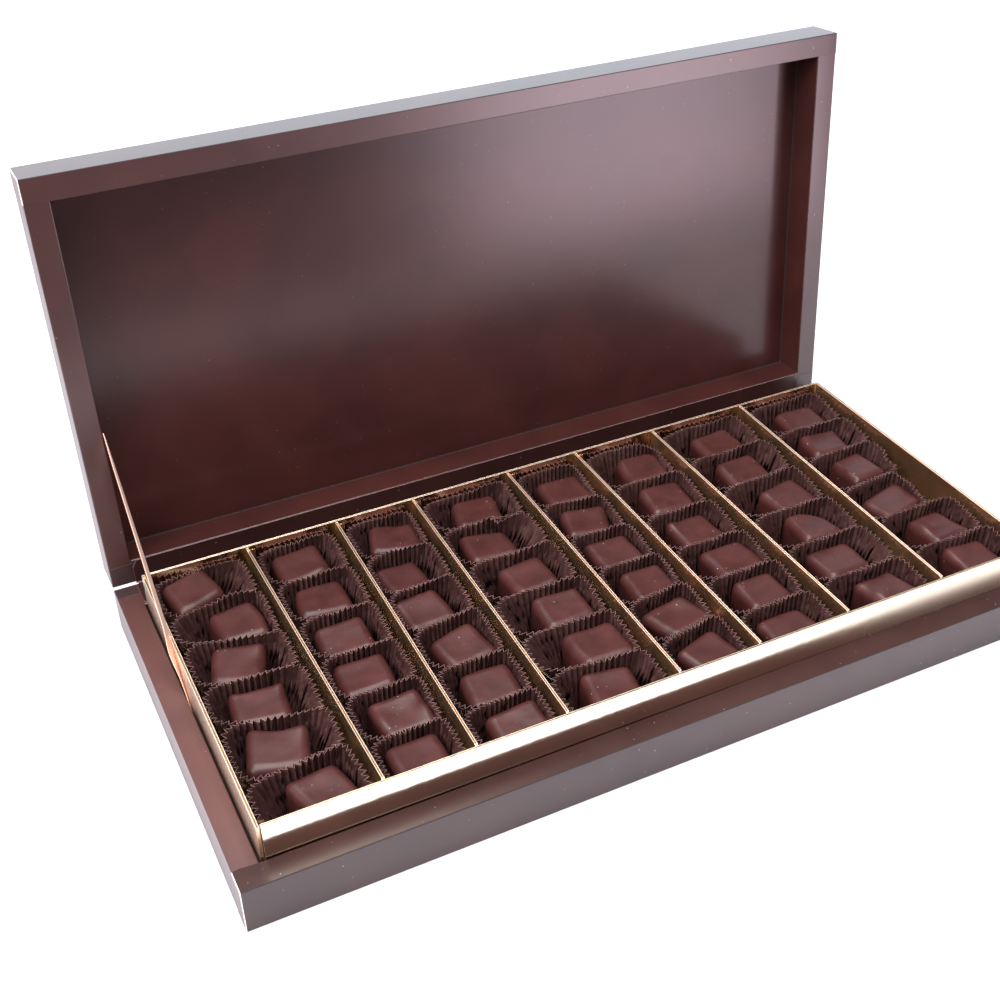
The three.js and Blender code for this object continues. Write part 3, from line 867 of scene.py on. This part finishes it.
# Hand-cut cubes are never square. How far the four top corners of each sweet stray from a cube, in millimetres to
# the right and towards the hinge: back left, back right, front right, front left. One entry is a column, hinge first.
STRAY_CORNERS = {
    1: """.8 1.3 .8 3.1 .3 2.3 -.8 .5 | 1.8 1.4 -.2 1.6 .6 -1 2 .8 | -.2 2.2 .8 2 -.8 -1 -1 .2
    | .2 -.6 1.3 -1.6 .8 -1 -.2 1 | -.2 1.4 2.2 -.6 1.5 -1.2 -.6 -1 | .2 .9 .8 .6 2.6 0 3.4 0""",
    2: """.2 .4 1.1 1.4 .4 .2 -.8 -1 | 1.4 .8 .8 1.4 1.3 -1 -2 .9 | 0 -.9 .4 .4 .4 -.8 -2 -.8
    | 0 0 .4 .4 .8 0 -.6 -.8 | .5 -.8 1.3 -.3 1.6 -1.2 1.3 -1.2 | .8 0 1.3 .7 1.8 0 .4 0""",
    3: """1 1.4 1 .6 2 -.8 -.6 1 | .2 -.6 -.6 0 .4 -.8 2.4 -.6 | -.8 -.9 -.6 .6 .5 -1 -.2 -1.2
    | .5 -1.6 .8 .6 1.3 -1.2 .4 -1.2 | .9 -.8 .8 -.7 .4 -1 -1 -1 | 0 -1.7 1.4 -.6 .9 0 -.6 0""",
    4: """1.4 .2 1.7 1.1 -.2 -.8 -1.5 0 | 0 .2 .1 -2.5 1.9 -.6 -.5 -1 | .6 .2 1 1.1 1.6 .5 1.8 -.8
    | .2 .5 1.4 -.2 .9 .8 -1 .5 | -.5 .8 1.8 0 1.3 -1.2 0 -.6 | .9 .8 .8 -.9 .4 0 -.6 0""",
    5: """.5 .7 1.4 0 .8 -1 -1 0 | 0 -1.4 1.4 -1.3 -2.6 -.6 -1.5 .6 | -.5 0 0 .2 .6 -1 .5 -1
    | 1.4 -1.3 .4 -.6 .8 -1.2 0 -1.2 | -1.5 -1.7 .4 -1.3 3.5 0 .9 -1 | .5 -1.7 1.9 -.3 .4 0 0 0""",
    6: """1.4 .2 1.9 -.8 0 -.6 -1.5 -1 | .9 -.2 .8 -.3 .8 -.6 -1 0 | .5 -1.1 0 -.3 2 -1 .9 -1.2
    | 0 .2 .6 -.6 1.4 -1.2 .9 -1 | .5 -1.1 -.9 -1.1 0 -1 -.5 0 | -.5 -1.9 .7 -1.3 3.3 0 -1.5 0""",
    7: """.7 .2 .4 -.6 .8 -1.2 .5 -1 | .5 -2.2 1.1 -.6 .2 -1 -.5 -1.2 | .8 -1.4 .8 .3 1.1 -1 0 0
    | 2.6 1.3 -1.5 -1.5 -.8 -.5 .5 1.4 | 0 -.3 1.9 -.3 1.9 .5 .5 0 | .5 -.6 -1.1 -.2 3 0 3.5 0""",
    8: """.2 -.9 1.4 -1.3 0 -1.2 -1 -.6 | 3.2 .5 2.1 -1.9 .8 1 1 1.4 | 3.6 .8 -1 .8 0 1 2.3 1
    | 0 -1.9 3 .2 1.4 2 0 -1.2 | .9 -.2 -2.4 -.5 0 0 1 0 | -.5 .9 -.9 -.6 -.3 0 -1.5 0""",
}

# Bumps and dips of single sweets: where on the sweet, from -1 to 1 to the right, towards the hinge and up, the
# push there in millimetres to the right, towards the hinge and up, and how wide it is as a share of the half size.
BUMPS = {
    (1, 2): [(1, 0, 0.8, 1.6, 0, 0, 0.8)],
    (1, 3): [(0.9, 0.1, 1, 0, 0, -0.7, 0.35)],
    (1, 4): [(0.9, 0.9, 1, 0.7, 0.5, 0.9, 0.3), (-0.9, 0.9, 1, -0.4, 0.4, 0.6, 0.3)],
    (1, 5): [
        (0.05, 1, 0.6, 0, -2, -0.6, 0.45),
        (-0.8, -0.9, 0.4, -0.8, -1, 0.3, 0.4),
        (0.9, 0.8, 1, 0.3, 0.6, 0.7, 0.4),
    ],
    (2, 1): [(0.5, -0.8, 1, 0, 0, 0.6, 0.35)],
    (2, 5): [(0.8, -0.2, 1, 0.2, 0, 0.7, 0.35), (-0.85, 0, 1, -0.3, 0, 0.6, 0.35), (0, 0, 1, 0, 0, -0.4, 0.5)],
    (3, 1): [(0.25, 1, 0.6, 0, -1.3, -0.4, 0.4)],
    (4, 3): [(0.7, 1, 0.8, 0.4, 0.5, 0, 0.6)],
    (4, 5): [(-1, 0, 0.4, -1.2, 0, 0, 0.9), (1, -0.2, 0.8, 0.9, 0, 0, 0.7)],
    (5, 5): [(0, 0.2, 1, 0, 0, -0.5, 0.6)],
    (6, 1): [(-0.9, 0.9, 1, 0.4, -0.6, 0.4, 0.35)],
    (6, 3): [(-0.8, 0.9, 1, -0.3, 0.3, 0.8, 0.3)],
    (6, 4): [(1, -0.2, 0.8, 1.4, 0, 0, 0.8)],
    (6, 5): [(-0.9, -0.8, 1, -0.2, 0, 0.5, 0.5)],
    (7, 1): [(0.7, 0.8, 1, 0.3, 0.4, 0.9, 0.4), (1, 0, 0.8, 1, 0, 0, 0.6)],
    (7, 4): [(0.9, 0.9, 1, -2.4, -3, 0, 0.55)],
    (7, 6): [(-0.6, -0.2, 1, 0, 0, 1.1, 0.4), (-0.9, -0.9, 0.8, -1.2, 0, 0.4, 0.4)],
    (8, 3): [(-0.7, -0.2, 0.9, -0.6, 0, 0.4, 0.35)],
    (8, 5): [(-0.7, 0.1, 1, -0.2, 0, 1, 0.4), (0.8, -0.9, 1, 0.4, 0, 0.4, 0.4)],
}
STRAYS = {
    column: [[float(v) for v in sweet.split()] for sweet in line.split("|")] for column, line in STRAY_CORNERS.items()
}


def shape_sweet(column, row):
    sweet_middle = cell_of(column, row)[2]
    lift = COLUMNS[column].get("lift", [0] * ROWS)[row - 1] * MM
    turn = Matrix.Rotation(math.radians(COLUMNS[column]["turn"][row - 1]), 2)
    draw = random.Random(column * 10 + row)
    top = SWEET_TOP + draw.uniform(-TOP_SPREAD, TOP_SPREAD) + lift
    seed = Vector((column * 5.3, row * 8.9, 2))
    strays = STRAYS[column][row - 1]
    tilt = (draw.uniform(-TOP_TILT, TOP_TILT), draw.uniform(-TOP_TILT, TOP_TILT))
    sweet = copy_of(sweet_blank, f"coated_sweet_c{column}_r{row}")
    for corner in sweet.data.vertices:
        p = corner.co.copy()
        high = (p.z + 1) / 2
        swell = 1 + FOOT_SPREAD * (1 - high) + BELLY * (1 - p.z**2) + SIDE_CROWN * (2 - p.x**2 - p.y**2)
        plan = turn @ Vector((p.x, p.y)) * SWEET_HALF * swell
        for i, (u, v) in enumerate(((-1, 1), (1, 1), (1, -1), (-1, -1))):
            weight = (1 + u * p.x) * (1 + v * p.y) / 4 * (FOOT_STRAY + (1 - FOOT_STRAY) * high)
            plan += Vector(strays[2 * i : 2 * i + 2]) * MM * weight
        ripple = sum(noise.noise(seed + p * often) * depth for often, depth in COAT_WAVES)
        plan += plan.normalized() * ripple
        z = sweet_foot + FOOT_CLEARANCE + (top - sweet_foot) * high + (ripple * TOP_WAVE_SHARE if p.z > 0.5 else 0)
        z += (tilt[0] * p.x + tilt[1] * p.y - DISH * (1 - p.x**2) * (1 - p.y**2)) * max(0, p.z)
        for u, v, w, right, back, up, width in BUMPS.get((column, row), []):
            near = math.exp(-(p - Vector((u, v, w))).length_squared / width**2)
            plan += Vector((right, back)) * MM * near
            z += up * MM * near
        corner.co = (sweet_middle.x + plan.x, sweet_middle.y + plan.y, z)
    finish_piece(sweet, [dark_chocolate], "base", f"sweet_c{column}_r{row}")


for column, row in CELLS:
    shape_sweet(column, row)
bpy.data.objects.remove(sweet_blank)

# ---------- lid ----------
# The upper half, built like the base: broad folded walls round a recessed panel. It is modelled standing upright at
# the hinge, with its open side to the front, and then leaned back to where the ribbon holds it.

HINGE_AXIS = Vector((0, 86.15, 19.75)) * MM
LEAN = math.radians(-5)
LID_NEAR = 0.15 * MM
LID_THICKNESS = 17 * MM
LID_REACH = 172 * MM
LID_RECESS = 14.8 * MM
LID_HINGE_RIM = 10.5 * MM
LID_FRONT_RIM = 9.2 * MM
LID_CREASE = 0.35 * MM
CREASE_DASH = 2.2 * MM
CREASE_PITCH = 4.4 * MM
HINGE_SIDE_START = 2.5 * MM
HINGE_SIDE_DASHES = 74
RIGHT_SIDE_START = 3 * MM
RIGHT_SIDE_DASHES = 34
LID_HINGE_END = 9 * MM

lid_frame = Matrix.Translation(HINGE_AXIS) @ Matrix.Rotation(LEAN, 4, "X")
lid_back = LID_NEAR + LID_THICKNESS
lid_top = LID_NEAR + LID_REACH
panel_y = LID_NEAR + LID_RECESS
panel_low = LID_NEAR + LID_HINGE_RIM
panel_high = lid_top - LID_FRONT_RIM
panel_middle = (panel_low + panel_high) / 2


def finish_lid_piece(piece, materials):
    """Leans a piece of the lid back and finishes it."""
    piece.data.transform(lid_frame)
    finish_piece(piece, materials, "lid", "lid")


# The panel's print hardly shines by itself, so it stays deep brown but for the film's glare, and little dust shows.
lid_wrap = film_wrapped_paper("satin_film_lid_wrap", ("#3b201e", "#452725"), haze=0.3)
panel_print = film_wrapped_paper("satin_printed_lid_panel", ("#381b19", "#42211e"), film=0.9, haze=0.08, dust="#846660")

lid_board = block(
    "lid_board",
    (base_low.x, LID_NEAR + PAPER_STEP, LID_NEAR),
    (base_high.x, lid_back, panel_high + WRAP_TUCK),
)
panel_push = Vector((0, LID_RECESS - PAPER_STEP, 0))
panel_end = panel_high + WRAP_TUCK / 3
hollow(lid_board, lambda f: f.normal.y < -FACING, 2, panel_low, panel_end, panel_middle, panel_push)


def in_recess(face):
    """True of the panel and the recess's walls, without the rounded edge at their mouth."""
    return abs(face.center.x) < well_x + 0.1 * MM and LID_NEAR + 1 * MM < face.center.y < panel_y + 0.1 * MM


def at_panel_edge(face):
    """True of the rounded corners round the panel."""
    return in_recess(face) and face.center.y > panel_y - 0.6 * MM and max(abs(v) for v in face.normal) < 0.97


lid_board.data.materials.append(lid_wrap)
paint(lid_board, panel_print, lambda f: in_recess(f) and f.center.z > panel_low - 0.1 * MM)
# Painted shade: the rounded corners round the recessed panel are painted near black, where shade falls into the recess.
paint(lid_board, painted_crease_shade, at_panel_edge)
paint(lid_board, side_wrap, on_outer_side)
finish_lid_piece(lid_board, [])

free_wall = wrapped_wall(
    "lid_free_wall",
    (base_low.x, LID_NEAR, panel_high),
    (base_high.x, lid_back - PAPER_STEP, lid_top),
    2,
    panel_high,
    lid_wrap,
)
finish_lid_piece(free_wall, [])

# The hinge strip turns round the side walls here too.
for side in (-1, 1):
    lid_hinge_end = thin_strip(
        "lid_hinge_end",
        side,
        well_x + STRIP_OVERLAP,
        (LID_NEAR, LID_NEAR + STRIP_INSET),
        (LID_NEAR + 2 * PAPER_STEP, LID_NEAR + LID_HINGE_END),
    )
    finish_lid_piece(lid_hinge_end, [hinge_wrap])


# The panel's card is perforated where it folds up at its hinge side and its right side; its dashes are painted shade,
# dark blocks along the fold.
def crease(name, start, along, count):
    """A row of dashes from start, along one axis."""
    size = Vector((LID_CREASE, LID_CREASE, LID_CREASE))
    step = Vector((0, 0, 0))
    size[along], step[along] = CREASE_DASH, CREASE_PITCH
    dashes = block(name, start - size / 2, start + size / 2)
    row = {"use_relative_offset": False, "use_constant_offset": True, "constant_offset_displace": step}
    add_modifier(dashes, "ARRAY", count=count, **row)
    finish_lid_piece(dashes, [painted_crease_shade])


hinge_side = Vector((-well_x + HINGE_SIDE_START, panel_y, panel_low + LID_CREASE))
right_side = Vector((well_x - LID_CREASE, panel_y, panel_low + RIGHT_SIDE_START))
crease("lid_crease_hinge_side", hinge_side, 0, HINGE_SIDE_DASHES)
crease("lid_crease_right_side", right_side, 2, RIGHT_SIDE_DASHES)

# ---------- hinge liner ----------
# A strip of the wrap is pasted over the joint on the inside: it lies on the back ledge, turns up at the hinge and
# covers the lid's lower rim. Its cut edge shows as a fine pale line, and its corners are clipped.

LINER_PAPER = 0.14 * MM
LINER_HALF_LENGTH = 165.3 * MM
LINER_UP = 10.5 * MM
LINER_CLIP = 1.8 * MM
FOOT_CLIP = 1.08 * MM
LINER_BEND = 1.1 * MM
LEDGE_STEPS = 8
BEND_STEPS = 8
RIM_STEPS = 6
LINER_COLUMNS = 24
LINER_START = 0.45 * MM
LINER_SUNK = 0.04 * MM

liner_start = tray_high.y + LINER_START
liner_level = base_high.z - LINER_SUNK
lid_face = lid_frame @ Vector((0, LID_NEAR + LINER_SUNK, 0))
lid_up = (lid_frame.to_3x3() @ Vector((0, 0, 1))).normalized()
corner_y = lid_face.y + (liner_level - lid_face.z) * lid_up.y / lid_up.z
liner_corner = Vector((0, corner_y, liner_level))
bend_start = liner_corner - Vector((0, LINER_BEND, 0))
bend_end = liner_corner + lid_up * LINER_BEND
liner_top = liner_corner + lid_up * LINER_UP
profile = [Vector((0, liner_start, liner_level)).lerp(bend_start, i / LEDGE_STEPS) for i in range(LEDGE_STEPS)]
for i in range(BEND_STEPS + 1):
    t = i / BEND_STEPS
    profile.append(bend_start * (1 - t) ** 2 + liner_corner * 2 * t * (1 - t) + bend_end * t**2)
profile += [bend_end.lerp(liner_top, i / RIM_STEPS) for i in range(1, RIM_STEPS + 1)]

bpy.ops.object.select_all(action="DESELECT")
bpy.ops.mesh.primitive_grid_add(x_subdivisions=LINER_COLUMNS, y_subdivisions=len(profile) - 1, size=2)
liner = bpy.context.object
liner.name = "hinge_liner_strip"
for corner in liner.data.vertices:
    along = round((corner.co.y + 1) / 2 * (len(profile) - 1))
    clip = LINER_CLIP * max(0, 1 - (len(profile) - 1 - along) / 2)
    if along == 0:
        clip = FOOT_CLIP
    corner.co = profile[along] + Vector((corner.co.x * (LINER_HALF_LENGTH - clip), 0, 0))
# The strip's film is a little glossier and thinner.
liner_paper = film_wrapped_paper("hinge_liner_paper", ("#2e1918", "#371e1d"), roughness=0.4, film=0.8, haze=0.1)
cut_edge = plain("cut_wrap_edge", "#b79c9c", 0.7)
liner.data.materials.append(liner_paper)
liner.data.materials.append(cut_edge)
add_modifier(liner, "SOLIDIFY", thickness=LINER_PAPER, offset=0, material_offset_rim=1)
bpy.ops.object.shade_smooth_by_angle(angle=math.radians(40))
finish_piece(liner, [], None, "hinge_liner")
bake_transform(liner)

# ---------- ribbon ----------
# A narrow satin ribbon holds the lid. It is glued behind the lid's left rim and runs straight down, nearly edge on,
# with one slack twist just above where it is tucked between the tray and the base.

RIBBON_WIDTH = 6 * MM
RIBBON_THICKNESS = 0.3 * MM
RIBBON_UP = 69.5 * MM
RIBBON_FOOT_Y = 10.6 * MM
RIBBON_TAIL = 7 * MM
RIBBON_STEPS = 60
# It is pinched to this share of its width at the top, opens over the tip, and loses this share at the foot.
TIP_LENGTH = 14 * MM
TIP_PINCH = 0.3
FOOT_PINCH = 0.6
FOOT_FROM = 0.9
# Its twist in degrees: at the top, added over the first part, added in the slack turn, and lost at the foot.
TOP_TWIST = 11
MORE_TWIST = 8
MORE_TWIST_UNTIL = 0.6
SLACK_TWIST = 17
SLACK_AT = 0.84
SLACK_WIDTH = 0.055
FOOT_UNTWIST = 6

ribbon_low, ribbon_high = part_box("ribbon")
ribbon_x = (ribbon_low.x + ribbon_high.x) / 2
ribbon_top = lid_frame @ Vector((ribbon_x, LID_NEAR, RIBBON_UP))
ribbon_foot = Vector((ribbon_x, RIBBON_FOOT_Y, base_high.z))
run = (ribbon_foot - ribbon_top).normalized()
across = Vector((0, -run.z, run.y))

bpy.ops.object.select_all(action="DESELECT")
bpy.ops.mesh.primitive_grid_add(x_subdivisions=4, y_subdivisions=RIBBON_STEPS, size=2)
ribbon = bpy.context.object
ribbon.name = "satin_stay_ribbon"
length = (ribbon_foot - ribbon_top).length
for corner in ribbon.data.vertices:
    share = (corner.co.y + 1) / 2
    at = share * (length + RIBBON_TAIL)
    way = at / length
    tip = min(1, at / TIP_LENGTH)
    foot = max(0, way - FOOT_FROM) / (1 - FOOT_FROM)
    width = RIBBON_WIDTH / 2 * (TIP_PINCH + (1 - TIP_PINCH) * tip) * (1 - FOOT_PINCH * foot)
    twist = TOP_TWIST + MORE_TWIST * min(1, way / MORE_TWIST_UNTIL) - FOOT_UNTWIST * foot
    twist += SLACK_TWIST * math.exp(-(((way - SLACK_AT) / SLACK_WIDTH) ** 2))
    sideways = across * math.cos(math.radians(twist)) + Vector((1, 0, 0)) * math.sin(math.radians(twist))
    corner.co = ribbon_top + run * at + sideways * width * corner.co.x
add_modifier(ribbon, "SOLIDIFY", thickness=RIBBON_THICKNESS, offset=0)
bpy.ops.object.shade_smooth_by_angle(angle=math.radians(40))


# Polyester satin: long floats of smooth thread lie along the ribbon, so it shines in a streak, and ribs about three
# quarters of a millimetre apart cross it.
SATIN = ("#cb8c70", "#f2c0a6")
SATIN_SURFACE = {"Roughness": 0.35, "Anisotropic": 0.6, "Sheen Weight": 0.3}
SATIN_RIBS = {"Scale": 420, "Distortion": 1.0, "Detail": 1}

satin_ribbon, weave, satin_shader = new_material("copper_satin_ribbon", SATIN_SURFACE)
ribbon_place = object_place(weave)
ribs = add_node(weave, "ShaderNodeTexWave", SATIN_RIBS, {"Vector": ribbon_place}, bands_direction="Z")
shades = add_node(weave, "ShaderNodeValToRGB", links={"Fac": ribs.outputs["Fac"]})
for stop, colour in zip(shades.color_ramp.elements, SATIN):
    stop.color = linear(colour)
weave.links.new(shades.outputs["Color"], satin_shader.inputs["Base Color"])
finish_piece(ribbon, [satin_ribbon], None, "ribbon")
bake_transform(ribbon)
